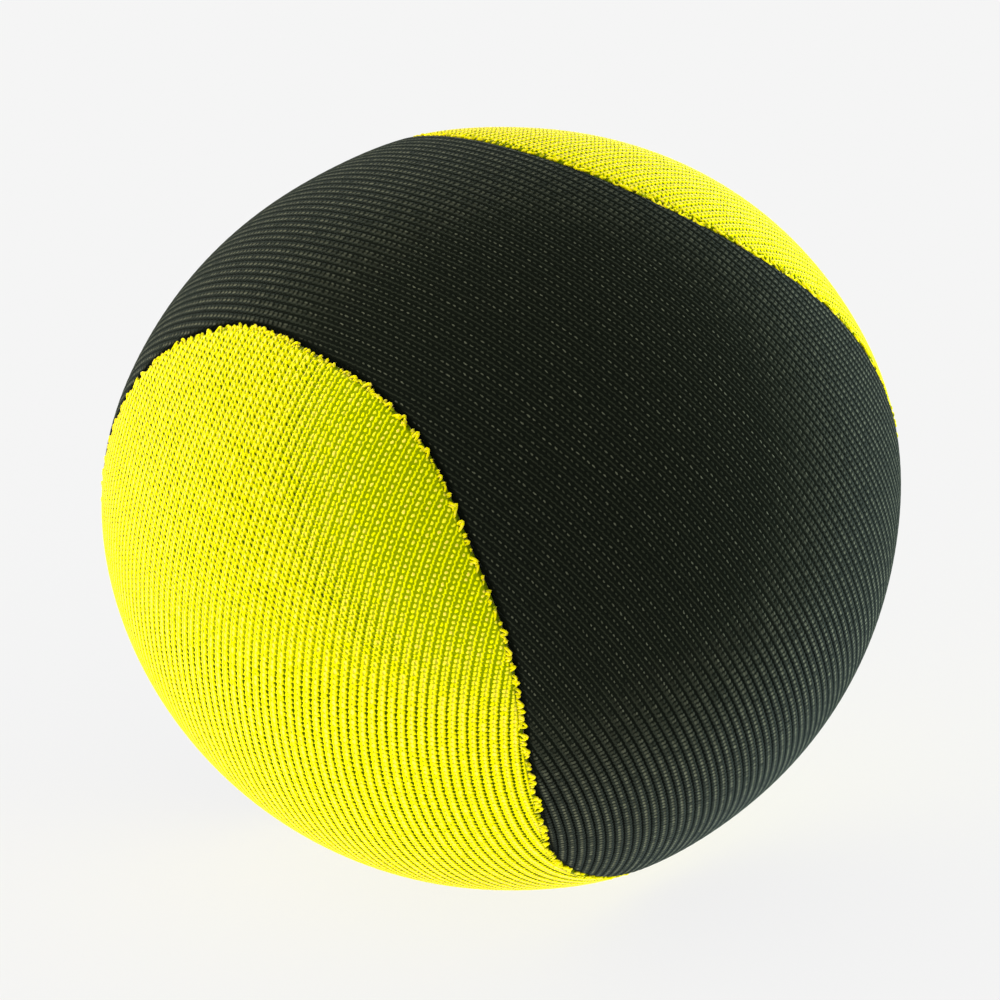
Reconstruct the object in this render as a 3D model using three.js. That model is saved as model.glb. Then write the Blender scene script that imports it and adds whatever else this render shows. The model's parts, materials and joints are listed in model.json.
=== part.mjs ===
// A soft juggling ball: a taut stretch-knit cover of two dog-bone panels, sewn along one
// tennis-ball seam over an inner bag that is filled with fine granulate.
// Millimetres, +Z up. The origin is on the floor, below the middle of the ball's outline.
import * as THREE from "three";
import { ParametricGeometry } from "three/addons/geometries/ParametricGeometry.js";
import { mergeVertices } from "three/addons/utils/BufferGeometryUtils.js";

// ---- driving dimensions -------------------------------------------------------------------
const BALL_RADIUS = 33.7; // mean radius across the floor plane
const SLUMP = 0.95; // height over width before the ball rests on the floor
const LEAN = THREE.MathUtils.degToRad(-10.8); // the short axis leans, turning about +Y
const SINK = 1.6; // how far the resting weight flattens the underside
const FLOOR_BLEND = 0.35; // half height of the soft turn from the flat patch to the side

const SEAM_SHAPE = 0.306; // third harmonic of the tennis-ball curve: waist against lobe
const SEAM_SQUARENESS = -0.019; // fifth harmonic: blunter lobe ends
const PANEL_TURN = [15.6, -8.5, 0].map(THREE.MathUtils.degToRad); // how the seam lies on the ball

const SEAM_RIDGE = 0.01; // the seam's folded edges lift the cover, as a share of the radius
const RIDGE_SPREAD = 0.17; // reach of that ridge, in radii
const LOBE_FLATNESS = -0.01; // the lobes pull a little flat
const LUMP = 0.0071; // the slack fill settles in three soft lumps about +Y
const LUMP_TURN = THREE.MathUtils.degToRad(36);

const COVER_CLOTH = 1.0; // knit with its backing
const COVER_HEM = 2.0; // knit folded double beside the seam
const COVER_HEM_WIDTH = 4.5;
const BAG_CLOTH = 0.5;
const BAG_HEM = 1.3;
const BAG_HEM_WIDTH = 3.5;
const HEM_RUNOUT = 2.0; // from the end of a folded hem to the single cloth
const GAP = 0.3; // clearance between pieces that touch
const EDGE_SETBACK = 0.25; // each panel's edge stops this short of the seam line
const EDGE_ROUNDING = 0.45; // the folded edge rolls down into the seam
const CHANNEL_SETBACK = 0.6; // below the lip the hems stand further apart, around the thread

const COVER_THREAD = 0.5; // diameter
const COVER_THREAD_DEPTH = 1.4;
const BAG_THREAD = 0.4;
const BAG_THREAD_DEPTH = 3.2;
const CLOSING_START = 196; // the turning gap along the seam, in degrees of the curve
const CLOSING_END = 232;
const THREAD_END_GAP = 1; // degrees between the end of one thread and the next

const SEAM_STEPS = 72; // points round the seam, a multiple of 4
const THREAD_STEP = 3; // along a thread
const THREAD_SIDES = 6;

// ---- the ball's surface -------------------------------------------------------------------
const panelTurn = new THREE.Matrix4().makeRotationFromEuler(new THREE.Euler(...PANEL_TURN, "XYZ"));
const lean = new THREE.Matrix4().makeRotationY(LEAN);

// A point of the seam on a unit ball; angle runs once round the curve.
function seamDirection(angle) {
  const main = 1 - SEAM_SHAPE;
  const rise = 2 * Math.sqrt(main * SEAM_SHAPE);
  return new THREE.Vector3(
    main * Math.cos(angle) + SEAM_SHAPE * Math.cos(3 * angle) + SEAM_SQUARENESS * Math.cos(5 * angle),
    main * Math.sin(angle) - SEAM_SHAPE * Math.sin(3 * angle) + SEAM_SQUARENESS * Math.sin(5 * angle),
    rise * Math.sin(2 * angle),
  ).normalize();
}

const SEAM_SAMPLES = 720;
const seamSamples = Array.from({ length: SEAM_SAMPLES }, (_, i) =>
  seamDirection((i / SEAM_SAMPLES) * 2 * Math.PI),
);

function seamDistance(direction) {
  return Math.min(...seamSamples.map((sample) => sample.distanceTo(direction)));
}

// The ball's outer surface before it rests on the floor, about its own middle.
function freeSurface(direction) {
  const ridge = SEAM_RIDGE * (Math.exp(-((seamDistance(direction) / RIDGE_SPREAD) ** 2)) - 0.5);
  const alongLobes = (direction.x + direction.y) ** 4 / 4 + (direction.y - direction.x) ** 4 / 4;
  const p = direction.clone().applyMatrix4(panelTurn);
  const lump = LUMP * Math.cos(3 * (Math.atan2(p.z, p.x) - LUMP_TURN)) * Math.hypot(p.x, p.z) ** 3;
  p.multiplyScalar(BALL_RADIUS * (1 + ridge + LOBE_FLATNESS * alongLobes + lump));
  p.z *= SLUMP;
  return p.applyMatrix4(lean);
}

// Follows z well above the floor, is the floor below it, and turns softly between them.
function restOn(floor, z) {
  const above = z - floor;
  if (above <= -FLOOR_BLEND) return floor;
  if (above >= FLOOR_BLEND) return z;
  return floor + (above + FLOOR_BLEND) ** 2 / (4 * FLOOR_BLEND);
}

// The outline of the free ball, found on an even net of directions.
function freeBox() {
  const box = new THREE.Box3();
  const step = Math.PI / 90;
  for (let polar = 0; polar <= Math.PI; polar += step) {
    for (let turn = 0; turn < 2 * Math.PI; turn += step) {
      box.expandByPoint(freeSurface(new THREE.Vector3().setFromSphericalCoords(1, polar, turn)));
    }
  }
  return box;
}

const outline = freeBox();
const place = new THREE.Vector3(
  -(outline.min.x + outline.max.x) / 2,
  -(outline.min.y + outline.max.y) / 2,
  -outline.min.z - SINK,
);

// The point that lies depth below the outer surface, in a given direction of the panels.
function surfacePoint(direction, depth) {
  const p = freeSurface(direction);
  p.multiplyScalar(1 - depth / p.length()).add(place);
  p.z = restOn(depth, p.z);
  return p;
}

// ---- panels -------------------------------------------------------------------------------
const LOBE_AXIS = new THREE.Vector3(-1, 1, 0).normalize(); // middle of one lobe of panel a
const WIDTH_AXIS = new THREE.Vector3(1, 1, 0).normalize();
const SPINE_END = THREE.MathUtils.degToRad(113); // where the spine stops and the lobe's fan starts

// The nearest point of the panel's spine, the arc from lobe to lobe over its waist.
function spineDirection(edge) {
  const along = Math.atan2(edge.dot(LOBE_AXIS), edge.z);
  const angle = THREE.MathUtils.clamp(along, -SPINE_END, SPINE_END);
  return LOBE_AXIS.clone().multiplyScalar(Math.sin(angle)).setZ(Math.cos(angle));
}

function between(start, end, share) {
  const angle = start.angleTo(end);
  const a = Math.sin((1 - share) * angle) / Math.sin(angle);
  const b = Math.sin(share * angle) / Math.sin(angle);
  return start.clone().multiplyScalar(a).addScaledVector(end, b);
}

// A direction in panel a, `inset` mm in from the seam, or that share of the way to the spine.
function panelDirection(turn, inset, share = 0) {
  const edge = seamDirection(turn);
  const spine = spineDirection(edge);
  const reach = spine.angleTo(edge) * BALL_RADIUS;
  const fromEdge = inset + share * (reach - inset);
  return between(edge, spine, fromEdge / reach);
}

// Panel b is panel a turned half way round the X axis, where the seam meets itself.
function toPanel(side, direction) {
  return side === "a" ? direction : direction.set(direction.x, -direction.y, -direction.z);
}

// Three.js leaves doubled corners and, at a lobe's fan, faces with no area.
function closed(geometry) {
  geometry.deleteAttribute("normal");
  geometry.deleteAttribute("uv");
  const welded = mergeVertices(geometry, 1e-4);
  const index = welded.index.array;
  const kept = [];
  for (let i = 0; i < index.length; i += 3) {
    const [a, b, c] = index.slice(i, i + 3);
    if (a !== b && b !== c && c !== a) kept.push(a, b, c);
  }
  welded.setIndex(kept);
  welded.computeVertexNormals();
  return welded;
}

// A closed surface swept round the seam: rows are the corners of its section, from the spine
// outside to the spine inside, each as [mm in from the seam, share of the way on, depth].
function sweptPanel(side, rows) {
  const point = (u, v, target) => {
    const [inset, share, depth] = rows[Math.round(v * (rows.length - 1))];
    const direction = toPanel(side, panelDirection(-u * 2 * Math.PI, inset, share));
    target.copy(surfacePoint(direction, depth));
  };
  return closed(new ParametricGeometry(point, SEAM_STEPS, rows.length - 1));
}

// The panel inside its hem, from its spine out to the end of the hem's runout.
function field(inset, depth) {
  return [1, 0.66, 0.33, 0].map((share) => [inset, share, depth]);
}

function coverPanel(side) {
  const lip = COVER_THREAD_DEPTH - COVER_THREAD / 2 - GAP;
  const runout = COVER_HEM_WIDTH + HEM_RUNOUT;
  return sweptPanel(side, [
    ...field(runout, 0),
    [1.2, 0, 0],
    [EDGE_SETBACK, 0, EDGE_ROUNDING],
    [EDGE_SETBACK, 0, lip],
    [CHANNEL_SETBACK, 0, lip],
    [CHANNEL_SETBACK, 0, COVER_HEM],
    [COVER_HEM_WIDTH, 0, COVER_HEM],
    ...field(runout, COVER_CLOTH).reverse(),
  ]);
}

function bagPanel(side) {
  const top = COVER_HEM + GAP;
  const lip = BAG_THREAD_DEPTH - BAG_THREAD / 2 - GAP;
  const runout = COVER_HEM_WIDTH + HEM_RUNOUT;
  const field_top = COVER_CLOTH + GAP;
  return sweptPanel(side, [
    ...field(runout, field_top),
    [COVER_HEM_WIDTH, 0, top],
    [EDGE_SETBACK, 0, top],
    [EDGE_SETBACK, 0, lip],
    [CHANNEL_SETBACK, 0, lip],
    [CHANNEL_SETBACK, 0, top + BAG_HEM],
    [BAG_HEM_WIDTH, 0, top + BAG_HEM],
    ...field(runout, field_top + BAG_CLOTH).reverse(),
  ]);
}

// ---- the fill -----------------------------------------------------------------------------
// Both halves of its skin share the points under the seam, so they weld into one closed body.
function fill() {
  const seamDepth = COVER_HEM + BAG_HEM + 2 * GAP;
  const fieldDepth = COVER_CLOTH + BAG_CLOTH + 2 * GAP;
  const runout = COVER_HEM_WIDTH + HEM_RUNOUT;
  const rows = [...field(runout, fieldDepth), [BAG_HEM_WIDTH, 0, seamDepth], [0, 0, seamDepth]];
  const count = rows.length - 1;
  const point = (u, v, target) => {
    const row = Math.round(v * 2 * count);
    const side = row <= count ? "a" : "b";
    const [inset, share, depth] = rows[row <= count ? row : 2 * count - row];
    const turn = side === "a" ? -u * 2 * Math.PI : u * 2 * Math.PI;
    target.copy(surfacePoint(toPanel(side, panelDirection(turn, inset, share)), depth));
  };
  return closed(new ParametricGeometry(point, SEAM_STEPS, 2 * count));
}

// ---- threads ------------------------------------------------------------------------------
function thread(fromDegrees, toDegrees, depth, diameter) {
  const points = [];
  for (let degrees = fromDegrees; degrees <= toDegrees; degrees += 1) {
    points.push(surfacePoint(seamDirection(THREE.MathUtils.degToRad(degrees)), depth));
  }
  const path = new THREE.CatmullRomCurve3(points);
  const section = new THREE.Shape();
  for (let side = 0; side < THREAD_SIDES; side += 1) {
    const angle = (side / THREAD_SIDES) * 2 * Math.PI;
    const corner = [(diameter / 2) * Math.cos(angle), (diameter / 2) * Math.sin(angle)];
    if (side === 0) section.moveTo(...corner);
    else section.lineTo(...corner);
  }
  section.closePath();
  const steps = Math.round(path.getLength() / THREAD_STEP);
  return closed(new THREE.ExtrudeGeometry(section, { steps, bevelEnabled: false, extrudePath: path }));
}

function seamThread(depth, diameter) {
  return thread(CLOSING_END + THREAD_END_GAP, CLOSING_START + 360 - THREAD_END_GAP, depth, diameter);
}

function closingThread(depth, diameter) {
  return thread(CLOSING_START, CLOSING_END, depth, diameter);
}

// ---- the assembly -------------------------------------------------------------------------
const cloth = (color) => new THREE.MeshStandardMaterial({ color, roughness: 0.9, metalness: 0 });
const black = cloth(0x1c2119);
const yellow = cloth(0xf4ec0a);
const lining = cloth(0xd8d4c8);
const granulate = new THREE.MeshStandardMaterial({ color: 0xc9b98e, roughness: 0.6, metalness: 0 });

const ball = new THREE.Group();

function add(name, geometry, material) {
  const mesh = new THREE.Mesh(geometry, material);
  mesh.name = name;
  ball.add(mesh);
}

add("cover_panel_black", coverPanel("a"), black);
add("cover_panel_yellow", coverPanel("b"), yellow);
add("cover_seam_thread", seamThread(COVER_THREAD_DEPTH, COVER_THREAD), black);
add("cover_closing_thread", closingThread(COVER_THREAD_DEPTH, COVER_THREAD), black);
add("inner_bag_panel_a", bagPanel("a"), lining);
add("inner_bag_panel_b", bagPanel("b"), lining);
add("inner_bag_seam_thread", seamThread(BAG_THREAD_DEPTH, BAG_THREAD), lining);
add("inner_bag_closing_thread", closingThread(BAG_THREAD_DEPTH, BAG_THREAD), lining);
add("granulate_fill", fill(), granulate);

export default ball;
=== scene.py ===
"""A soft juggling ball in a taut two-panel stretch-knit cover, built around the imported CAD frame.

The ball's surface and its tennis-ball seam are formulas on a unit ball, the same ones as in the
design but for a small wander of the seam. The knit's grain is laid over them. The ball's size
and place come from the frame's box.
"""

import json
import math

import bpy
import numpy as np
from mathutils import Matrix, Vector

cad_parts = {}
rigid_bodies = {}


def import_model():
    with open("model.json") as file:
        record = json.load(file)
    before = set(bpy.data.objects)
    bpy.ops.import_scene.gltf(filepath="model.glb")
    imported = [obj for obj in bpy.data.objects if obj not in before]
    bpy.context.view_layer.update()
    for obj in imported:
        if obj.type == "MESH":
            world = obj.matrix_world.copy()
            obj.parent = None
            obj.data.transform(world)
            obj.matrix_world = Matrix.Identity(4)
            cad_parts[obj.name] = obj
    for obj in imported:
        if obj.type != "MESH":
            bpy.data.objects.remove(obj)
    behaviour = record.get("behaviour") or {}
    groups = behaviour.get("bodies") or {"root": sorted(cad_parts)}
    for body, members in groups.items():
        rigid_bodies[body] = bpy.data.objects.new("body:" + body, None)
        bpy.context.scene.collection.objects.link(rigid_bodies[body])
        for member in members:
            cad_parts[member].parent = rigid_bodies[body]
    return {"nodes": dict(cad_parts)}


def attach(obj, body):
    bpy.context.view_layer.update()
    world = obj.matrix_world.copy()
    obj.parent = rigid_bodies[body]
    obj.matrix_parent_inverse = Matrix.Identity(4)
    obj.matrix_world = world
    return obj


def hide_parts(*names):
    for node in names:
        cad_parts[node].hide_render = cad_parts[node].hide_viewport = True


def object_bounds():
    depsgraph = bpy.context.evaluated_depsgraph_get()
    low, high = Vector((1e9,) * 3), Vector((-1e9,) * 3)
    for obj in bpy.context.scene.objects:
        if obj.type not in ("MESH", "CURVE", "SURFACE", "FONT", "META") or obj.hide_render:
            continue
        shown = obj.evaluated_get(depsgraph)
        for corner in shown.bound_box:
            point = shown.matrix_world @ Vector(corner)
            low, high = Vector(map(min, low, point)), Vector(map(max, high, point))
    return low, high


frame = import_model()
cad_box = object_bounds()

MM = 0.001

# ---- the ball's form, in radii and degrees, as in the design ---------------------------------
SLUMP = 0.95  # height over width before the ball rests on the floor
LEAN = -10.8  # the short axis leans, turning about +Y
SEAM_SHAPE = 0.306  # third harmonic of the tennis-ball curve: waist against lobe
SEAM_SQUARENESS = -0.019  # fifth harmonic: blunter lobe ends
# Where the sewn line wanders off the even one: place on the curve, spread, and how far into
# the black panel, in degrees. One degree across the seam is 0.6 mm.
SEAM_WANDER = (
    (8, 10, -1.5),
    (222, 5, 0.6),
    (230, 5, -0.55),
    (243, 5, 0.35),
    (252, 5, -0.45),
    (263, 6, 0.65),
    (285, 5, -0.9),
)
PANEL_TURN = (15.6, -8.5, 0.0)  # how the seam lies on the ball, about X, Y and Z
SEAM_RIDGE = 0.01  # the seam's folded edges lift the cover
RIDGE_SPREAD = 0.17
LOBE_FLATNESS = -0.01  # the lobes pull a little flat
LUMP = 0.0071  # the slack fill settles in three soft lumps about +Y
LUMP_TURN = 36.0

# ---- how finely the curve and the surface are sampled ----------------------------------------
SEAM_SAMPLES = 1440
SMALL_ANGLE = 0.001  # radians along the seam, to find its direction
SEARCH_BATCHES = 40  # the search for the nearest seam sample goes in parts, to save memory
SURVEY_POINTS = 20000  # spread over the surface to find how far it reaches
TOOTH_SEARCH = 8  # steps between seam samples in the search for the ribs that the seam cuts

# ---- the cover's fine form, in millimetres ---------------------------------------------------
FLOOR_BLEND = 0.35  # half height of the soft turn from the flat patch to the side
HEM_DEPTH = 1.8  # how far the turned-in edge goes down into the seam
HEM_INWARD = 0.2  # and how far back under its own panel
RIDGE_PLACE = 0.29  # where the high left leg of the stitches is, as a share of a wale
CURL_PITCH = 0.48  # between loops where the ribs run along the seam
CURL_ROOM = 0.75  # kept free of curls between two teeth, in pitches
# Where the loops stand out most: place on the curve and spread in degrees, and how far
LOOSE_LOOPS = (
    (16, 14, 0.30),
    (274, 12, 0.04),
)
LOOSE_CURL = 0.08  # a tooth that is looser than this is a curl
LOOSE_WIDTH = 2.0  # a loop is wider by this share of itself for each millimetre of looseness
LOOSE_SHARE = (0.2, 1.5)  # the share of the looseness that a loop takes up, as a range
# A loop's half width, how far it reaches over the black and how high it stands, each as a
# range; the spread of its lean along the seam; and how far its place slips, in seam samples.
CURL = dict(half=(0.14, 0.32), reach=(-0.20, 0.30), rise=(0.0, 0.22), lean=0.34, slip=0.7)
TOOTH = dict(half=(0.06, 0.13), reach=(-0.05, 0.12), rise=(0.0, 0.10), lean=0.09, slip=0.15)
LOOP_ROOT = -0.55  # the loops start this far inside the yellow edge
LOOP_SINK = -0.22  # and this far under the ball's surface
LOOP_YARN = 0.125  # radius of the yarn
YARN_SPREAD = (0.85, 1.1)  # the radius of each loop's yarn, as a range of shares of that
LOOP_SEED = 11
LOOP_STEPS = 9
LOOP_SIDES = 6
OFF_AXIS = (0.3, 0.5, 0.8)  # any direction will do, to start the rings of a tube from
COLUMNS_PER_WALE = 4
GROOVE_WIDTH = 0.17  # of the groove between two ribs, as a share of a wale
ROW_STEP = 0.7  # degrees along a wale
GRAIN_REACH = 64  # degrees of latitude either side of the grain's middle

# ---- the knit: one entry for each panel ------------------------------------------------------
# A wale is a rib of stitches, a course is a row of them; both are in degrees on the ball.
# The grain's axis is the panel's width axis, turned by grain_turn towards +Z of the panels.
# The grooves between the ribs fade out over groove_fade beside the seam, and the folded edge
# drops by edge_drop over edge_width, all in millimetres. eased_reach is for braid_share.
BLACK = dict(
    wale=1.37,
    course=0.99,
    grain_turn=8.0,
    groove_depth=0.044,
    groove_fade=0.9,
    edge_drop=0.5,
    edge_width=0.9,
    eased_reach=(0.70, 0.24),
)
YELLOW = dict(
    wale=1.44,
    course=0.96,
    grain_turn=11.8,
    groove_depth=0.08,
    groove_fade=0.25,
    edge_drop=0.34,
    edge_width=0.6,
    eased_reach=(0.86, 0.52),
)

# How each panel looks. On two opposite sides of the ball the cover is eased, and each wale
# shows a thin ridge and a row of beads. Round the rest each wale is a braid of Vs: above the
# ball's middle with small slanted holes, and below it, where it is taut, with open grooves.
# A bead is (middle, slant, half width, shortness): where it lies across the wale, how far it
# leans in a course, its half width, and how short it is in its course; at 0 the beads run on
# into a ridge.
#   deep, shallow        the painted shade's colours down in a groove or hole, and beside the yarn
#   eased_yarn, yarn     the yarn's colour where the cover is eased, and in the braid, painted
#                        with the lamps' tint on the limbs: warmer in the yellow, bluer in the black
#   glint, glint_power   the painted highlight on the lightest stitches, and how rare it is among
#                        the eased side's beads
#   spark, spark_power   the bead that catches the light in the braid, and how rare it is
#   spark_share          how much of the glint it takes, and by taut_spark more where it is taut
#   eased, braided       the ridge and the bead of a stitch, or the two legs of its V
#   filled               how high the yarn is between the braid's legs, where it isn't taut
#   hole_depth           how dark the painted shade in the holes is, and dash_depth in the gaps inside the Vs
#   streak               the noise at which a rib begins to glint, and at which it does fully
#   edge, seam_shade_band      the colour of the painted shade beside the seam, and its width in millimetres
#   wander, slip         how far the stitches stray across and along the ribs, in stitches
#   relief               the height of the bump, in millimetres
BLACK_LOOK = dict(
    name="black_knit",
    deep=(0.0018, 0.0024, 0.0016, 1),
    shallow=(0.0060, 0.0076, 0.0050, 1),
    eased_yarn=(0.020, 0.024, 0.015, 1),
    yarn=(0.018, 0.0225, 0.0175, 1),
    glint=(0.120, 0.128, 0.084, 1),
    glint_power=1.3,
    spark=(0.48, 0.0, 0.2, 1.4),
    spark_share=0.8,
    taut_spark=0.2,
    spark_power=0.4,
    eased=((0.26, 0.06, 0.11, 0.3), (0.76, -0.08, 0.12, 1.5)),
    braided=((0.29, 0.18, 0.24, 0.75), (0.71, -0.18, 0.24, 0.75)),
    filled=0.10,
    hole_depth=0.6,
    dash_depth=0.25,
    streak=(0.0, 0.75),
    edge=(0.003, 0.004, 0.0025, 1),
    seam_shade_band=0.7,
    wander=0.2,
    slip=0.8,
    relief=0.06,
    sheen=0.06,
    sheen_roughness=0.3,
    sheen_tint=(0.82, 1.0, 0.98, 1),
)
YELLOW_LOOK = dict(
    name="yellow_knit",
    deep=(0.035, 0.07, 0.0, 1),
    shallow=(0.25, 0.32, 0.0, 1),
    eased_yarn=(0.93, 0.95, 0.0, 1),
    yarn=(0.86, 0.79, 0.0, 1),
    glint=(1.0, 0.76, 0.10, 1),
    glint_power=1.4,
    spark=(0.46, 0.0, 0.20, 0.9),
    spark_share=1.0,
    taut_spark=0.0,
    spark_power=0.8,
    eased=((0.28, 0.08, 0.14, 0.1), (0.75, -0.07, 0.20, 1.4)),
    braided=((0.30, 0.20, 0.24, 0.0), (0.70, -0.20, 0.24, 0.0)),
    filled=0.26,
    hole_depth=1.0,
    dash_depth=1.0,
    streak=(0.2, 0.5),
    edge=(0.12, 0.17, 0.0, 1),
    seam_shade_band=0.42,
    wander=0.34,
    slip=0.8,
    relief=0.10,
    sheen=0.8,
    sheen_roughness=0.2,
    sheen_tint=(1.0, 0.66, 0.38, 1),
)
HOLE = (0.5, 0.55, 0.18, 2.3)  # in the braid, between two wales, as a bead
HOLE_SHIFT = (0.5, 0.0)  # across and along, in stitches
DASH = (0.5, 0.50, 0.17, 2.3)  # the gap in the middle of each V of the braid
DASH_SHIFT = (0.0, 0.2)
TAUT_HEIGHTS = (0.08, -0.2)  # over the ball's middle, in radii: where it starts, and all taut
EASED_TOWARDS = (5.0, 28.0)  # azimuth and height in degrees of the middle of an eased side

# Where the smooth steps in the knit's shading start and end
FILLED_STEP = (0.4, 1.0)  # share of braid
OPEN_STEP = (0.0, 0.7)  # share of braid
GROOVE_STEP = (0.25, 0.4)  # wales from the middle of a rib
YARN_STEP = (0.02, 0.5)  # the rest are heights of a bead, which is 1 at its top
BEAD_GLINT_STEP = (0.3, 0.9)
SPARK_STEP = (0.0, 0.8)
DASH_STEP = (0.0, 0.5)
HOLE_RIM_STEP = (0.0, 0.45)
HOLE_CORE_STEP = (0.3, 0.8)
OPEN_SPREAD = 0.45  # how much further closed the most closed stitch is than the most open

# The noise in the knit, in cycles for each stitch
WANDER_NOISE = 1.7
SLIP_NOISE = 0.8
STREAK_NOISE = 0.9
STREAK_STRETCH = 0.04  # a streak is drawn out along its rib
FIBRE_NOISE = 9.0
FIBRE_RELIEF = 0.12  # of the height of a bead

# ---- the other materials: scales in cycles a metre, colours from light to dark ----------------
CLOTH_ROUGHNESS = 0.9
YARN_TONE = 1400.0
YARN_PLY = 5000.0
YARN_RELIEF = 0.04  # millimetres, as are the other reliefs
LINING_PITCH = 0.9  # millimetres from thread to thread
LINING_SLUB = 900.0
LINING_RELIEF = 0.05
THREAD_TURNS = 900.0
THREAD_FIBRES = 6000.0
THREAD_RELIEF = 0.04
GRANULE_SCALE = 700.0
GRANULE_RELIEF = 0.6
LINING_COLOURS = ((0.68, 0.65, 0.58, 1), (0.42, 0.39, 0.33, 1))
LINING_THREAD_COLOURS = ((0.68, 0.65, 0.58, 1), (0.35, 0.32, 0.27, 1))
BLACK_THREAD_COLOURS = ((0.02, 0.02, 0.02, 1), (0.004, 0.004, 0.004, 1))
GRANULE_COLOURS = ((0.62, 0.52, 0.3, 1), (0.4, 0.3, 0.14, 1))
GRANULE_SHADE = (0.05, 0.04, 0.02, 1)  # between the grains
WHITE = (1, 1, 1, 1)

# ---- the camera, the room and its lamps, in metres and degrees -------------------------------
CAMERA_HEIGHT = 20.0  # degrees above the floor
CAMERA_DISTANCE = 18.0  # in radii of the ball
LENS = 259.4  # millimetres, as is the sensor's width
SENSOR = 36.0
AIM = (-0.33, 0.0, 0.62)  # millimetres from the ball's middle
ROOM = 0.913  # how bright the room is all round
FLOOR_RADIUS = 6.0
FLOOR_SIDES = 64
FLOOR_SHADE = 0.09  # how much of the floor's brightness can fall into shadow
LIGHT_DISTANCE = 0.6
LIGHT_SIZE = 0.5
# name, azimuth, height in degrees, power, colour
LAMPS = (
    ("left_lamp", -108, 5, 6.2, (1.0, 0.88, 0.82)),
    ("right_lamp", 116, -8, 10.2, (0.74, 0.90, 1.0)),
    ("top_lamp", 170, 70, 1.1, (1.0, 1.0, 0.85)),
    ("table_lamp", -50, -60, 3.8, (1.0, 0.96, 0.90)),
)


# ---- directions and the panels' axes ---------------------------------------------------------
def turned(axis, degrees):
    """The matrix that turns by so many degrees about X, Y or Z."""
    c, s = math.cos(math.radians(degrees)), math.sin(math.radians(degrees))
    i, j = [(1, 2), (2, 0), (0, 1)]["XYZ".index(axis)]
    m = np.eye(3)
    m[i, i] = m[j, j] = c
    m[i, j], m[j, i] = -s, s
    return m


def unit(v):
    """The vectors of an array, each made 1 long."""
    return v / np.linalg.norm(v, axis=-1, keepdims=True)


TO_BALL = turned("X", PANEL_TURN[0]) @ turned("Y", PANEL_TURN[1]) @ turned("Z", PANEL_TURN[2])
TO_LEAN = turned("Y", LEAN)
WIDTH_A = unit(np.array([1.0, 1.0, 0.0]))  # across the black panel's lobes
WIDTH_B = unit(np.array([-1.0, 1.0, 0.0]))  # across the yellow panel's lobes
UP = np.array([0.0, 0.0, 1.0])


# ---- the seam --------------------------------------------------------------------------------
def even_seam(angle):
    """Points of the seam as designed, on the unit ball; the angle runs once round the curve."""
    main = 1 - SEAM_SHAPE
    rise = 2 * math.sqrt(main * SEAM_SHAPE)
    x = main * np.cos(angle) + SEAM_SHAPE * np.cos(3 * angle) + SEAM_SQUARENESS * np.cos(5 * angle)
    y = main * np.sin(angle) - SEAM_SHAPE * np.sin(3 * angle) + SEAM_SQUARENESS * np.sin(5 * angle)
    return unit(np.stack([x, y, rise * np.sin(2 * angle)], axis=-1))


def seam_direction(angle):
    """The seam as sewn: the even seam, moved a little sideways in the places it wanders."""
    d = even_seam(angle)
    side = unit(np.cross(d, even_seam(angle + SMALL_ANGLE)))  # points into the black panel
    shift = np.zeros(np.shape(angle))
    for middle, spread, amount in SEAM_WANDER:
        off = (np.degrees(angle) - middle + 180) % 360 - 180
        shift += np.radians(amount) * np.exp(-((off / spread) ** 2))
    return unit(d + shift[..., None] * side)


seam = seam_direction(np.linspace(0, 2 * math.pi, SEAM_SAMPLES, endpoint=False))
seam_run = unit(np.roll(seam, -1, axis=0) - np.roll(seam, 1, axis=0))
seam_side = unit(np.cross(seam, seam_run))  # points into the black panel


def nearest_seam(d):
    """For unit directions: the index of the nearest seam sample."""
    parts = np.array_split(d, SEARCH_BATCHES)
    return np.concatenate([np.argmax(part @ seam.T, axis=1) for part in parts])


def seam_distance(d):
    """The signed distance from the seam, in radii: positive in the black panel."""
    near = nearest_seam(d)
    return ((d - seam[near]) * seam_side[near]).sum(axis=1)


# ---- the surface -----------------------------------------------------------------------------
def free_surface(d):
    """The outer surface in radii for unit directions of the panels, before the ball rests."""
    gap = np.linalg.norm(d - seam[nearest_seam(d)], axis=1)
    ridge = SEAM_RIDGE * (np.exp(-((gap / RIDGE_SPREAD) ** 2)) - 0.5)
    lobes = LOBE_FLATNESS * ((d @ WIDTH_A) ** 4 + (d @ WIDTH_B) ** 4)
    p = d @ TO_BALL.T
    turn = np.arctan2(p[:, 2], p[:, 0]) - math.radians(LUMP_TURN)
    lump = LUMP * np.cos(3 * turn) * np.hypot(p[:, 0], p[:, 2]) ** 3
    p = p * (1 + ridge + lobes + lump)[:, None] * np.array([1, 1, SLUMP])
    return p @ TO_LEAN.T


def even_directions(count):
    """Unit directions spread evenly over the sphere, on a golden spiral."""
    i = np.arange(count) + 0.5
    polar = np.arccos(1 - 2 * i / count)
    turn = math.pi * (1 + math.sqrt(5)) * i
    across = np.sin(polar)
    return np.stack([np.cos(turn) * across, np.sin(turn) * across, np.cos(polar)], axis=1)


free = free_surface(even_directions(SURVEY_POINTS))
free_low, free_high = free.min(axis=0), free.max(axis=0)
cad_low, cad_high = np.array(cad_box[0]), np.array(cad_box[1])
RADIUS = float((cad_high - cad_low)[:2].sum() / (free_high - free_low)[:2].sum())
MIDDLE = (cad_low + cad_high - (free_low + free_high) * RADIUS) / 2
MIDDLE[2] = cad_high[2] - free_high[2] * RADIUS
FLOOR = cad_low[2]


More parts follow.
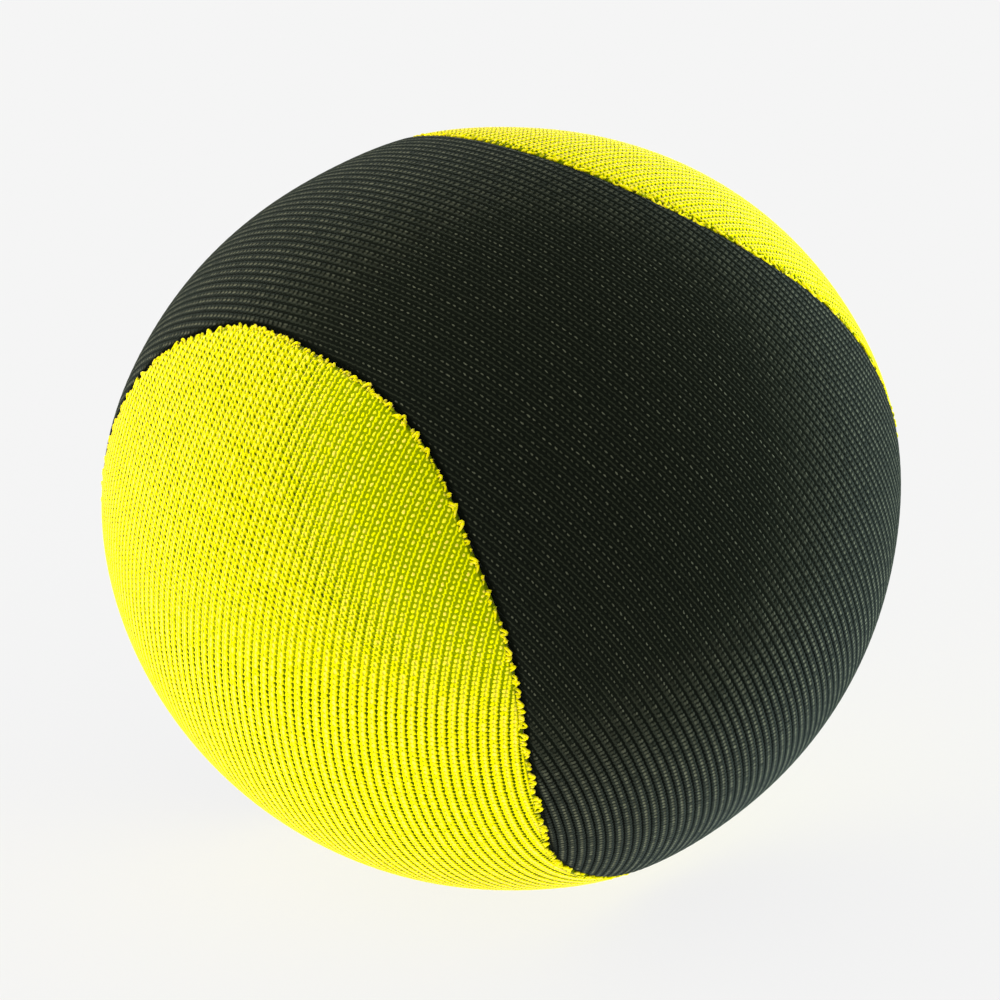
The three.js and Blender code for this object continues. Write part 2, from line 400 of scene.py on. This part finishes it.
def place(d, lift):
    """Metres in the row frame: the surface in direction d, lifted by so many millimetres."""
    p = free_surface(d)
    out = unit(p)
    p = p * RADIUS + MIDDLE + out * np.asarray(lift)[:, None] * MM
    blend = FLOOR_BLEND * MM
    above = p[:, 2] - (FLOOR - np.minimum(lift, 0) * MM)
    soft = np.where(above <= -blend, 0.0, (above + blend) ** 2 / (4 * blend))
    p[:, 2] += np.where(above >= blend, 0.0, soft - above)
    return p


# ---- the knit's grain ------------------------------------------------------------------------
class Grain:
    """Latitude and longitude about the grain's axis; wales run along the latitudes."""

    def __init__(self, knit, width, pole):
        turn = math.radians(knit["grain_turn"])
        self.axis = math.cos(turn) * width + math.sin(turn) * UP
        self.pole = unit(pole - (pole @ self.axis) * self.axis)
        self.side = np.cross(self.axis, self.pole)
        self.knit = knit

    def direction(self, lat, lon):
        """Unit directions for latitudes and longitudes in degrees."""
        lat, lon = np.radians(lat)[..., None], np.radians(lon)[..., None]
        ring = np.cos(lon) * self.pole + np.sin(lon) * self.side
        return np.sin(lat) * self.axis + np.cos(lat) * ring

    def stitches(self, d):
        """Wale and course numbers, with fractions, for unit directions."""
        lat = np.degrees(np.arcsin(np.clip(d @ self.axis, -1, 1)))
        lon = np.degrees(np.arctan2(d @ self.side, d @ self.pole))
        return lat / self.knit["wale"], lon / self.knit["course"]


# ---- the panels ------------------------------------------------------------------------------
def clipped(values):
    """Cuts a grid of quads along value 0 and keeps the positive side.

    Returns the kept faces, and the new corners as (inside vertex, outside vertex, share)."""
    faces, cuts, made = [], [], {}
    rows, columns = values.shape
    corner = np.arange(rows * columns).reshape(rows, columns)
    quads = np.stack(
        [corner[:-1, :-1], corner[:-1, 1:], corner[1:, 1:], corner[1:, :-1]], axis=-1
    ).reshape(-1, 4)
    flat = values.reshape(-1)
    inside = (flat > 0)[quads]
    faces += [tuple(q) for q in quads[inside.all(axis=1)].tolist()]

    def cut(a, b):
        a, b = (a, b) if flat[a] > 0 else (b, a)
        if (a, b) not in made:
            made[a, b] = rows * columns + len(cuts)
            cuts.append((a, b, flat[a] / (flat[a] - flat[b])))
        return made[a, b]

    for quad in quads[inside.any(axis=1) & ~inside.all(axis=1)].tolist():
        ring = []
        for a, b in zip(quad, quad[1:] + quad[:1]):
            if flat[a] > 0:
                ring.append(a)
            if (flat[a] > 0) != (flat[b] > 0):
                ring.append(cut(a, b))
        if len(ring) > 2:
            faces.append(tuple(ring))
    return faces, cuts


def boundary_edges(faces):
    """The edges that only one face has, in the direction that face runs."""
    edges = {}
    for face in faces:
        for a, b in zip(face, face[1:] + face[:1]):
            if (b, a) in edges:
                del edges[b, a]
            else:
                edges[a, b] = True
    return list(edges)


def rolled_edge(distance, knit):
    """How far the folded edge drops below the surface, distance millimetres from the seam."""
    share = np.clip(1 - distance / knit["edge_width"], 0, 1)
    return -knit["edge_drop"] * (1 - np.sqrt(1 - share**2))


def make_object(name, points, faces):
    """A smooth-shaded mesh object in the scene."""
    mesh = bpy.data.meshes.new(name)
    mesh.from_pydata(points.tolist(), [], faces)
    mesh.polygons.foreach_set("use_smooth", [True] * len(mesh.polygons))
    mesh.update()
    piece = bpy.data.objects.new(name, mesh)
    bpy.context.collection.objects.link(piece)
    return piece


def add_numbers(piece, name, values):
    """One number for each point of the mesh, for the material to read."""
    attribute = piece.data.attributes.new(name, "FLOAT", "POINT")
    attribute.data.foreach_set("value", np.asarray(values, np.float32))


def braid_share(points, reach):
    """0 where the cover is eased and 1 where it is stretched into a braid.

    The reach is two squared cosines of the angle from the eased side: all eased, all braided."""
    turn, rise = np.radians(EASED_TOWARDS)
    level = math.cos(rise)
    towards = np.array([math.sin(turn) * level, -math.cos(turn) * level, math.sin(rise)])
    nearness = (unit(points - MIDDLE) @ towards) ** 2
    full, none = reach
    share = np.clip((full - nearness) / (full - none), 0, 1)
    return share**2 * (3 - 2 * share)


def taut_share(points):
    """1 below the ball's middle, where the weight of the fill opens the wales' grooves."""
    start, full = TAUT_HEIGHTS
    share = np.clip((start - unit(points - MIDDLE)[:, 2]) / (start - full), 0, 1)
    return share**2 * (3 - 2 * share)


def trimmed_grid(grain, sign):
    """A fine grid whose columns follow the ribs, cut along the seam.

    Returns its directions, their distances from the seam in millimetres, and its faces."""
    lat_step = grain.knit["wale"] / COLUMNS_PER_WALE
    reach = round(GRAIN_REACH / lat_step)
    lat, lon = np.meshgrid(
        np.arange(-reach, reach + 1) * lat_step, np.arange(-180, 180, ROW_STEP), indexing="ij"
    )
    d = grain.direction(lat, lon).reshape(-1, 3)
    gap = sign * seam_distance(d)
    faces, cuts = clipped(gap.reshape(lat.shape))
    a, b, share = (np.array(column) for column in zip(*cuts))
    share = share[:, None]
    new = unit(d[a.astype(int)] * (1 - share) + d[b.astype(int)] * share)
    d = np.concatenate([d, new])
    gap = np.concatenate([gap, np.zeros(len(new))]).clip(0) * RADIUS / MM

    used, flat = np.unique(np.concatenate([np.array(f) for f in faces]), return_inverse=True)
    ends = np.cumsum([len(f) for f in faces])
    faces = [tuple(ring.tolist()) for ring in np.split(flat, ends[:-1])]
    return d[used], gap[used], faces


def hemmed(d, gap, faces, sign):
    """Adds a strip of faces along the edge; its new points come last, and are counted."""
    edge = boundary_edges(faces)
    rim = np.array([start for start, _ in edge])
    below = {start: len(d) + i for i, start in enumerate(rim)}
    faces += [(b, a, below[a], below[b]) for a, b in edge]
    near = nearest_seam(d)
    inward = sign * seam_side[near][rim] * HEM_INWARD * MM / RADIUS
    d = np.concatenate([d, unit(d[rim] + inward)])
    gap = np.concatenate([gap, np.zeros(len(rim))])
    return d, gap, faces, len(rim)


def knit_panel(name, knit, width, pole, sign):
    """One dog-bone panel, with its ribs and its turned-in edge; sign is 1 for the black one."""
    grain = Grain(knit, width, pole)
    d, gap, faces, hem_points = hemmed(*trimmed_grid(grain, sign), sign)
    wale, course = grain.stitches(d)
    fade = np.clip(gap / knit["groove_fade"], 0, 1)
    aside = np.abs(wale - np.round(wale)) / GROOVE_WIDTH
    groove = -knit["groove_depth"] * np.exp(-(aside**2)) * fade
    lift = groove + rolled_edge(gap, knit)
    lift[-hem_points:] -= HEM_DEPTH
    points = place(d, lift)

    piece = make_object(name, points, faces)
    add_numbers(piece, "wale", wale)
    add_numbers(piece, "course", course)
    add_numbers(piece, "edge", gap)
    add_numbers(piece, "braid", braid_share(points, knit["eased_reach"]))
    add_numbers(piece, "taut", taut_share(points))
    print(name, len(faces), "faces", flush=True)
    return piece


# ---- the yarn loops along the yellow edge ----------------------------------------------------
def tooth_places(grain):
    """Where loops stand along the seam, as seam sample numbers, and which of them are curls.

    Each rib that the seam cuts ends in a tooth; where the ribs run along it, curls fill in."""
    steps = np.arange(SEAM_SAMPLES * TOOTH_SEARCH) / TOOTH_SEARCH
    wale, _ = grain.stitches(seam_direction(steps * 2 * math.pi / SEAM_SAMPLES))
    crossing = np.floor(wale - RIDGE_PLACE)
    teeth = steps[np.nonzero(np.diff(crossing))[0]]
    arcs = np.linalg.norm(np.roll(seam, -1, axis=0) - seam, axis=1) * RADIUS / MM
    run = np.concatenate([[0], np.cumsum(arcs)])
    at = np.interp(teeth, np.arange(SEAM_SAMPLES + 1), run)
    places = []
    for here, after in zip(at, np.append(at[1:], run[-1] + at[0])):
        places.append((here, False))
        extra = int((after - here) / CURL_PITCH - CURL_ROOM)
        places += [(here + (after - here) * (k + 1) / (extra + 1), True) for k in range(extra)]
    run_at, curls = zip(*places)
    spots = np.interp(np.array(run_at) % run[-1], run, np.arange(SEAM_SAMPLES + 1))
    return spots, curls


def tube(path, radius, sides):
    """Points and faces of a closed round tube along a path of points."""
    run = unit(np.gradient(path, axis=0))
    across = unit(np.cross(run, OFF_AXIS))
    up = np.cross(run, across)
    turn = np.linspace(0, 2 * math.pi, sides, endpoint=False)
    ring = np.cos(turn)[:, None, None] * across + np.sin(turn)[:, None, None] * up
    points = (path + radius[:, None] * ring).transpose(1, 0, 2).reshape(-1, 3)
    count = len(path)
    faces = []
    for i in range(count - 1):
        for j in range(sides):
            a, b = i * sides + j, i * sides + (j + 1) % sides
            faces.append((a, b, b + sides, a + sides))
    faces.append(tuple(range(sides))[::-1])
    faces.append(tuple(range((count - 1) * sides, count * sides)))
    return points, faces


def looseness(spot):
    """How much further than usual, in millimetres, the loops reach at this seam sample."""
    angle = spot * 360 / SEAM_SAMPLES
    reach = 0.0
    for middle, spread, amount in LOOSE_LOOPS:
        off = (angle - middle + 180) % 360 - 180
        reach += amount * math.exp(-((off / spread) ** 2))
    return reach


def edge_loops():
    """Small loops of yellow yarn that stand over the black along the whole seam."""
    rng = np.random.default_rng(LOOP_SEED)
    grain = Grain(YELLOW, WIDTH_B, -UP)
    spots, curls = tooth_places(grain)
    phase = np.linspace(0, math.pi, LOOP_STEPS)
    all_points, all_faces, count = [], [], 0
    for spot, curl in zip(spots, curls):
        slack = looseness(spot)
        loop = CURL if curl or slack > LOOSE_CURL else TOOTH
        angle = (spot + rng.uniform(-1, 1) * loop["slip"]) * 2 * math.pi / SEAM_SAMPLES
        centre = seam_direction(np.array([angle]))[0]
        near = int(round(spot)) % SEAM_SAMPLES
        half = rng.uniform(*loop["half"]) * (1 + LOOSE_WIDTH * slack)
        reach = rng.uniform(*loop["reach"]) + slack * rng.uniform(*LOOSE_SHARE)
        lean = rng.normal(0, loop["lean"])
        rise = rng.uniform(*loop["rise"])
        # u runs along the seam, v across it towards the black and w up, in millimetres
        u = -half * np.cos(phase) + lean * np.sin(phase)
        v = LOOP_ROOT + (reach - LOOP_ROOT) * np.sin(phase)
        w = LOOP_SINK + rise * np.sin(phase)
        offset = (u[:, None] * seam_run[near] + v[:, None] * seam_side[near]) * MM / RADIUS
        path = place(unit(centre + offset), w)
        radius = LOOP_YARN * MM * rng.uniform(*YARN_SPREAD) * np.ones(LOOP_STEPS)
        points, faces = tube(path, radius, LOOP_SIDES)
        all_points.append(points)
        all_faces += [tuple(i + count for i in face) for face in faces]
        count += len(points)
    print("edge loops", len(spots), len(all_faces), flush=True)
    return make_object("yellow_edge_loops", np.concatenate(all_points), all_faces)


# ---- materials -------------------------------------------------------------------------------
class Nodes:
    """Short names for the shader nodes that the materials use."""

    def __init__(self, name):
        self.material = bpy.data.materials.new(name)
        self.material.use_nodes = True
        self.tree = self.material.node_tree
        self.shader = self.tree.nodes["Principled BSDF"]

    def new(self, kind, **settings):
        node = self.tree.nodes.new(kind)
        for key, value in settings.items():
            setattr(node, key, value)
        return node

    def link(self, value, socket):
        """Links a node's output to the socket, or sets a plain value on it."""
        if isinstance(value, bpy.types.NodeSocket):
            self.tree.links.new(value, socket)
        else:
            socket.default_value = value

    def math(self, operation, *values):
        node = self.new("ShaderNodeMath", operation=operation)
        for value, socket in zip(values, node.inputs):
            self.link(value, socket)
        return node.outputs[0]

    def number(self, name):
        """A number that the mesh stores at its points."""
        return self.new("ShaderNodeAttribute", attribute_name=name).outputs["Fac"]

    def vector(self, x, y, z=0.0):
        node = self.new("ShaderNodeCombineXYZ")
        for value, socket in zip((x, y, z), node.inputs):
            self.link(value, socket)
        return node.outputs[0]

    def noise(self, vector, scale, detail=2.0):
        node = self.new("ShaderNodeTexNoise")
        self.link(vector, node.inputs["Vector"])
        node.inputs["Scale"].default_value = scale
        node.inputs["Detail"].default_value = detail
        return node.outputs["Fac"]

    def random(self, vector):
        """A number from 0 to 1 that is the same wherever the vector is."""
        node = self.new("ShaderNodeTexWhiteNoise", noise_dimensions="3D")
        self.link(vector, node.inputs["Vector"])
        return node.outputs["Value"]

    def mix(self, share, a, b):
        """A colour between a and b; a mix node keeps its colour sockets at 6, 7 and 2."""
        node = self.new("ShaderNodeMix", data_type="RGBA")
        self.link(share, node.inputs[0])
        self.link(a, node.inputs[6])
        self.link(b, node.inputs[7])
        return node.outputs[2]

    def ramp(self, value, low, high):
        """A smooth step from 0 at low to 1 at high, which may lie the other way round."""
        node = self.new("ShaderNodeMapRange", interpolation_type="SMOOTHSTEP")
        self.link(value, node.inputs["Value"])
        self.link(low, node.inputs["From Min"])
        self.link(high, node.inputs["From Max"])
        return node.outputs["Result"]

    def bump(self, height, distance):
        node = self.new("ShaderNodeBump")
        node.inputs["Strength"].default_value = 1.0
        node.inputs["Distance"].default_value = distance
        self.link(height, node.inputs["Height"])
        self.link(node.outputs["Normal"], self.shader.inputs["Normal"])

    def finish(self, colour, roughness, shine=0.0, sheen=0.0, sheen_roughness=0.5, tint=WHITE):
        """Puts the colour and the surface's values on the shader, and gives the material."""
        self.link(colour, self.shader.inputs["Base Color"])
        self.link(roughness, self.shader.inputs["Roughness"])
        self.shader.inputs["Sheen Weight"].default_value = sheen
        self.shader.inputs["Sheen Roughness"].default_value = sheen_roughness
        self.shader.inputs["Sheen Tint"].default_value = tint
        self.shader.inputs["Specular IOR Level"].default_value = shine
        return self.material

    def finish_yarn(self, look, colour):
        """The matt finish of a look's yarn, with the sheen of its fibres."""
        return self.finish(
            colour,
            CLOTH_ROUGHNESS,
            sheen=look["sheen"],
            sheen_roughness=look["sheen_roughness"],
            tint=look["sheen_tint"],
        )


def between(n, share, shape, other):
    """A bead's shape that turns from the first into the other as the share goes from 0 to 1."""
    return [n.math("MULTIPLY_ADD", share, b - a, a) for a, b in zip(shape, other)]


def bead(n, wale, course, shape, shift=(0.0, 0.0)):
    """The height of a slanted bead of yarn in each stitch, shifted by shares of a stitch."""
    middle, slant, half_width, shortness = shape
    across = n.math("FRACT", n.math("ADD", wale, shift[0]))
    along = n.math("SUBTRACT", n.math("FRACT", n.math("ADD", course, shift[1])), 0.5)
    centre = n.math("MULTIPLY_ADD", along, slant, middle)
    x = n.math("DIVIDE", n.math("SUBTRACT", across, centre), half_width)
    y = n.math("MULTIPLY", along, 2.0)
    fall = n.math("MULTIPLY_ADD", n.math("MULTIPLY", y, y), shortness, n.math("MULTIPLY", x, x))
    return n.math("MAXIMUM", n.math("SUBTRACT", 1.0, fall), 0.0)


def straying_stitches(n, look):
    """Wale and course numbers, moved a little by noise, as no knit is even."""
    wale, course = n.number("wale"), n.number("course")
    wander = n.math("SUBTRACT", n.noise(n.vector(wale, course), WANDER_NOISE), 0.5)
    slip = n.math("SUBTRACT", n.noise(n.vector(course, wale, 7.0), SLIP_NOISE), 0.5)
    return (
        n.math("MULTIPLY_ADD", wander, look["wander"], wale),
        n.math("MULTIPLY_ADD", slip, look["slip"], course),
    )


def braid_gaps(n, look, wale, course, open_):
    """How deep the holes between the braid's wales are, and the painted shade of the gaps in its
    Vs.
    """
    hole = n.math("MULTIPLY", bead(n, wale, course, HOLE, HOLE_SHIFT), open_)
    dash = n.math("MULTIPLY", bead(n, wale, course, DASH, DASH_SHIFT), open_)
    return hole, n.math("MULTIPLY", n.ramp(dash, *DASH_STEP), look["dash_depth"])


def glints(n, look, stitch, beads, braid, taut):
    """How much light each stitch catches: the eased side's beads, and the braid's sparks."""
    wale, course, row, chance = stitch
    streak = n.noise(n.vector(row, n.math("MULTIPLY", course, STREAK_STRETCH)), STREAK_NOISE)
    streak = n.ramp(streak, *look["streak"])
    bead_glint = n.math("MULTIPLY", n.ramp(beads, *BEAD_GLINT_STEP), streak)
    bead_glint = n.math("MULTIPLY", bead_glint, n.math("POWER", chance, look["glint_power"]))
    spark = n.ramp(bead(n, wale, course, look["spark"]), *SPARK_STEP)
    spark = n.math("MULTIPLY", spark, n.math("POWER", chance, look["spark_power"]))
    spark_share = n.math("MULTIPLY_ADD", taut, look["taut_spark"], look["spark_share"])
    spark = n.math("MULTIPLY", spark, spark_share)
    return n.math("MULTIPLY_ADD", braid, n.math("SUBTRACT", spark, bead_glint), bead_glint)


def knit_material(look):
    """Jersey stitches: a ridge and beads where the cover is eased, a braid where it is taut."""
    n = Nodes(look["name"])
    wale, course = straying_stitches(n, look)
    braid, taut, edge = n.number("braid"), n.number("taut"), n.number("edge")
    closed = n.math("SUBTRACT", 1.0, taut)
    row = n.math("FLOOR", wale)
    chance = n.random(n.vector(row, n.math("FLOOR", course)))

    ridge, beads = (
        bead(n, wale, course, between(n, braid, eased, braided))
        for eased, braided in zip(look["eased"], look["braided"])
    )
    yarn_height = n.math("MAXIMUM", ridge, beads)
    filled = n.math("MULTIPLY", n.ramp(braid, *FILLED_STEP), look["filled"])
    height = n.math("MAXIMUM", yarn_height, n.math("MULTIPLY", filled, closed))
    open_ = n.math("MULTIPLY", n.ramp(braid, *OPEN_STEP), closed)
    open_ = n.math("MULTIPLY", open_, n.math("MULTIPLY_ADD", chance, -OPEN_SPREAD, 1.0))
    hole, dash = braid_gaps(n, look, wale, course, open_)

    aside = n.math("ABSOLUTE", n.math("SUBTRACT", n.math("FRACT", wale), 0.5))
    # Painted shade: the grooves between the taut braid's wales, and the yarn's low parts between
    # its beads.
    groove = n.math("MULTIPLY", n.ramp(aside, *GROOVE_STEP), n.math("MULTIPLY", taut, braid))
    painted_hollow_shade = n.mix(groove, look["shallow"], look["deep"])
    # The braid's yarn is a lit copy of the eased one, painted with the tint of the lamp-lit limbs.
    yarn = n.mix(braid, look["eased_yarn"], look["yarn"])
    colour = n.mix(n.ramp(height, *YARN_STEP), painted_hollow_shade, yarn)
    glint = glints(n, look, (wale, course, row, chance), beads, braid, taut)
    # The glints and sparks are painted highlights, mixed into the colour.
    colour = n.mix(glint, colour, look["glint"])
    # Painted shade in the holes: a rim of the shallow colour round a deep core; the dashes take the
    # shallow one.
    rim = n.math("MULTIPLY", n.ramp(hole, *HOLE_RIM_STEP), look["hole_depth"])
    core = n.math("MULTIPLY", n.ramp(hole, *HOLE_CORE_STEP), look["hole_depth"])
    colour = n.mix(n.math("MAXIMUM", dash, rim), colour, look["shallow"])
    colour = n.mix(core, colour, look["deep"])
    # A band of painted shade beside the seam, where the folded edge drops away.
    seam_shade = n.ramp(edge, look["seam_shade_band"], 0.5 * look["seam_shade_band"])
    colour = n.mix(seam_shade, colour, look["edge"])

    fibres = n.noise(n.vector(wale, course, 3.0), FIBRE_NOISE, 1.0)
    relief = n.math("SUBTRACT", n.math("MULTIPLY_ADD", fibres, FIBRE_RELIEF, height), hole)
    n.bump(relief, look["relief"] * MM)
    return n.finish_yarn(look, colour)


def loop_material(look):
    """The same yellow yarn on its own: plied, with a painted highlight on its plies, and darker in
    patches.
    """
    n = Nodes("yellow_yarn")
    spot = n.new("ShaderNodeTexCoord").outputs["Object"]
    tone = n.noise(spot, YARN_TONE)
    ply = n.noise(spot, YARN_PLY)
    colour = n.mix(n.ramp(tone, 0.3, 0.5), look["shallow"], look["yarn"])
    # A painted highlight on the plies, in the glint's colour.
    colour = n.mix(n.ramp(ply, 0.5, 0.75), colour, look["glint"])
    n.bump(ply, YARN_RELIEF * MM)
    return n.finish_yarn(look, colour)


def plain_weave(name, light, dark):
    """A fine plain weave for the inner cloth, from waves along the row frame's axes."""
    n = Nodes(name)
    spot = n.new("ShaderNodeTexCoord").outputs["Object"]
    split = n.new("ShaderNodeSeparateXYZ")
    n.link(spot, split.inputs[0])
    turns = 2 * math.pi / (LINING_PITCH * MM)
    x = n.math("SINE", n.math("MULTIPLY", n.math("ADD", split.outputs[0], split.outputs[1]), turns))
    y = n.math("SINE", n.math("MULTIPLY", n.math("ADD", split.outputs[2], split.outputs[1]), turns))
    over = n.math("MULTIPLY_ADD", n.math("MULTIPLY", x, y), 0.5, 0.5)
    slub = n.noise(spot, LINING_SLUB)
    colour = n.mix(over, dark, light)
    colour = n.mix(n.ramp(slub, 0.35, 0.75), colour, dark)
    n.bump(over, LINING_RELIEF * MM)
    return n.finish(colour, CLOTH_ROUGHNESS, shine=0.2, sheen=0.2)


def spun_thread(name, light, dark):
    """Plied sewing thread: diagonal turns with loose fibres."""
    n = Nodes(name)
    spot = n.new("ShaderNodeTexCoord").outputs["Object"]
    wave = n.new("ShaderNodeTexWave", wave_type="BANDS", bands_direction="DIAGONAL")
    n.link(spot, wave.inputs["Vector"])
    wave.inputs["Scale"].default_value = THREAD_TURNS
    wave.inputs["Distortion"].default_value = 1.5
    turns = wave.outputs["Fac"]
    fibres = n.noise(spot, THREAD_FIBRES)
    colour = n.mix(turns, dark, light)
    n.bump(n.math("MULTIPLY_ADD", fibres, 0.4, turns), THREAD_RELIEF * MM)
    return n.finish(colour, 0.75, shine=0.3, sheen=0.2)


def granules(name, light, dark):
    """Fine granulate, packed: one cell for each grain."""
    n = Nodes(name)
    spot = n.new("ShaderNodeTexCoord").outputs["Object"]
    grain = n.new("ShaderNodeTexVoronoi", feature="F1")
    n.link(spot, grain.inputs["Vector"])
    grain.inputs["Scale"].default_value = GRANULE_SCALE
    round_ = n.math("SUBTRACT", 1.0, grain.outputs["Distance"])
    split = n.new("ShaderNodeSeparateXYZ")
    n.link(grain.outputs["Color"], split.inputs[0])
    colour = n.mix(split.outputs[0], light, dark)
    colour = n.mix(n.ramp(round_, 0.25, 0.55), GRANULE_SHADE, colour)
    n.bump(round_, GRANULE_RELIEF * MM)
    return n.finish(colour, 0.5, shine=0.4)


# ---- the stage: camera, light, floor ---------------------------------------------------------
def add_camera():
    """A long lens, aimed near the ball's middle."""
    data = bpy.data.cameras.new("camera")
    data.lens = LENS
    data.sensor_width = SENSOR
    data.clip_start = 0.01
    camera = bpy.data.objects.new("camera", data)
    bpy.context.collection.objects.link(camera)
    rise = math.radians(CAMERA_HEIGHT)
    back = Vector((0, -math.cos(rise), math.sin(rise)))
    aim = Vector(MIDDLE) + Vector(AIM) * MM
    camera.location = aim + back * CAMERA_DISTANCE * RADIUS
    camera.rotation_euler = back.to_track_quat("Z", "Y").to_euler()
    bpy.context.scene.camera = camera


def add_light(name, azimuth, height, power, colour, lit):
    """A soft round light on the ball alone, which only the ball can shade, so one stands below the
    floor.
    """
    data = bpy.data.lights.new(name, "AREA")
    data.shape = "DISK"
    data.size = LIGHT_SIZE
    data.energy = power
    data.color = colour
    light = bpy.data.objects.new(name, data)
    bpy.context.collection.objects.link(light)
    a, e = math.radians(azimuth), math.radians(height)
    back = Vector((math.sin(a) * math.cos(e), -math.cos(a) * math.cos(e), math.sin(e)))
    light.location = Vector(MIDDLE) + back * LIGHT_DISTANCE
    light.rotation_euler = back.to_track_quat("Z", "Y").to_euler()
    light.light_linking.receiver_collection = lit
    light.light_linking.blocker_collection = lit


def add_floor():
    """A wide round floor that glows as brightly as the room, so that shadows stay faint."""
    turn = np.linspace(0, 2 * math.pi, FLOOR_SIDES, endpoint=False)
    ring = np.stack([np.cos(turn), np.sin(turn), 0 * turn], axis=1) * FLOOR_RADIUS
    points = np.concatenate([ring, [(0, 0, 0)]]) + np.array([0, 0, FLOOR])
    faces = [(FLOOR_SIDES, i, (i + 1) % FLOOR_SIDES) for i in range(FLOOR_SIDES)]
    floor = make_object("floor", points, faces)
    n = Nodes("pale_floor")
    glow = ROOM * (1 - FLOOR_SHADE)
    n.shader.inputs["Emission Color"].default_value = WHITE
    n.shader.inputs["Emission Strength"].default_value = glow
    shade = (FLOOR_SHADE, FLOOR_SHADE, FLOOR_SHADE, 1)
    floor.data.materials.append(n.finish(shade, 1.0))


def add_world():
    """An even white room."""
    world = bpy.data.worlds.new("light_tent")
    world.use_nodes = True
    background = world.node_tree.nodes["Background"]
    background.inputs["Color"].default_value = WHITE
    background.inputs["Strength"].default_value = ROOM
    bpy.context.scene.world = world


# ---- making it -------------------------------------------------------------------------------
bpy.context.scene.view_settings.view_transform = "Standard"
add_camera()
add_world()
add_floor()

black_panel = knit_panel("black_knit_panel", BLACK, WIDTH_A, UP, 1)
yellow_panel = knit_panel("yellow_knit_panel", YELLOW, WIDTH_B, -UP, -1)

black_panel.data.materials.append(knit_material(BLACK_LOOK))
yellow_panel.data.materials.append(knit_material(YELLOW_LOOK))
loops = edge_loops()
loops.data.materials.append(loop_material(YELLOW_LOOK))
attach(loops, "root")
for piece, node, slot in (
    (black_panel, "cover_panel_black", "black_knit"),
    (yellow_panel, "cover_panel_yellow", "yellow_knit"),
):
    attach(piece, "root")
    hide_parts(node)

lining = plain_weave("lining_weave", *LINING_COLOURS)
lining_thread = spun_thread("lining_spun", *LINING_THREAD_COLOURS)
black_thread = spun_thread("black_spun", *BLACK_THREAD_COLOURS)
grains = granules("granulate_grains", *GRANULE_COLOURS)
FINISHES = {
    "inner_bag_panel_a": lining,
    "inner_bag_panel_b": lining,
    "inner_bag_seam_thread": lining_thread,
    "inner_bag_closing_thread": lining_thread,
    "cover_seam_thread": black_thread,
    "cover_closing_thread": black_thread,
    "granulate_fill": grains,
}
for node, finish in FINISHES.items():
    frame["nodes"][node].data.materials.clear()
    frame["nodes"][node].data.materials.append(finish)

lit = bpy.data.collections.new("lit_by_lamps")
for piece in bpy.context.scene.objects:
    if piece.type == "MESH" and piece.name != "floor":
        lit.objects.link(piece)
for lamp in LAMPS:
    add_light(*lamp, lit)
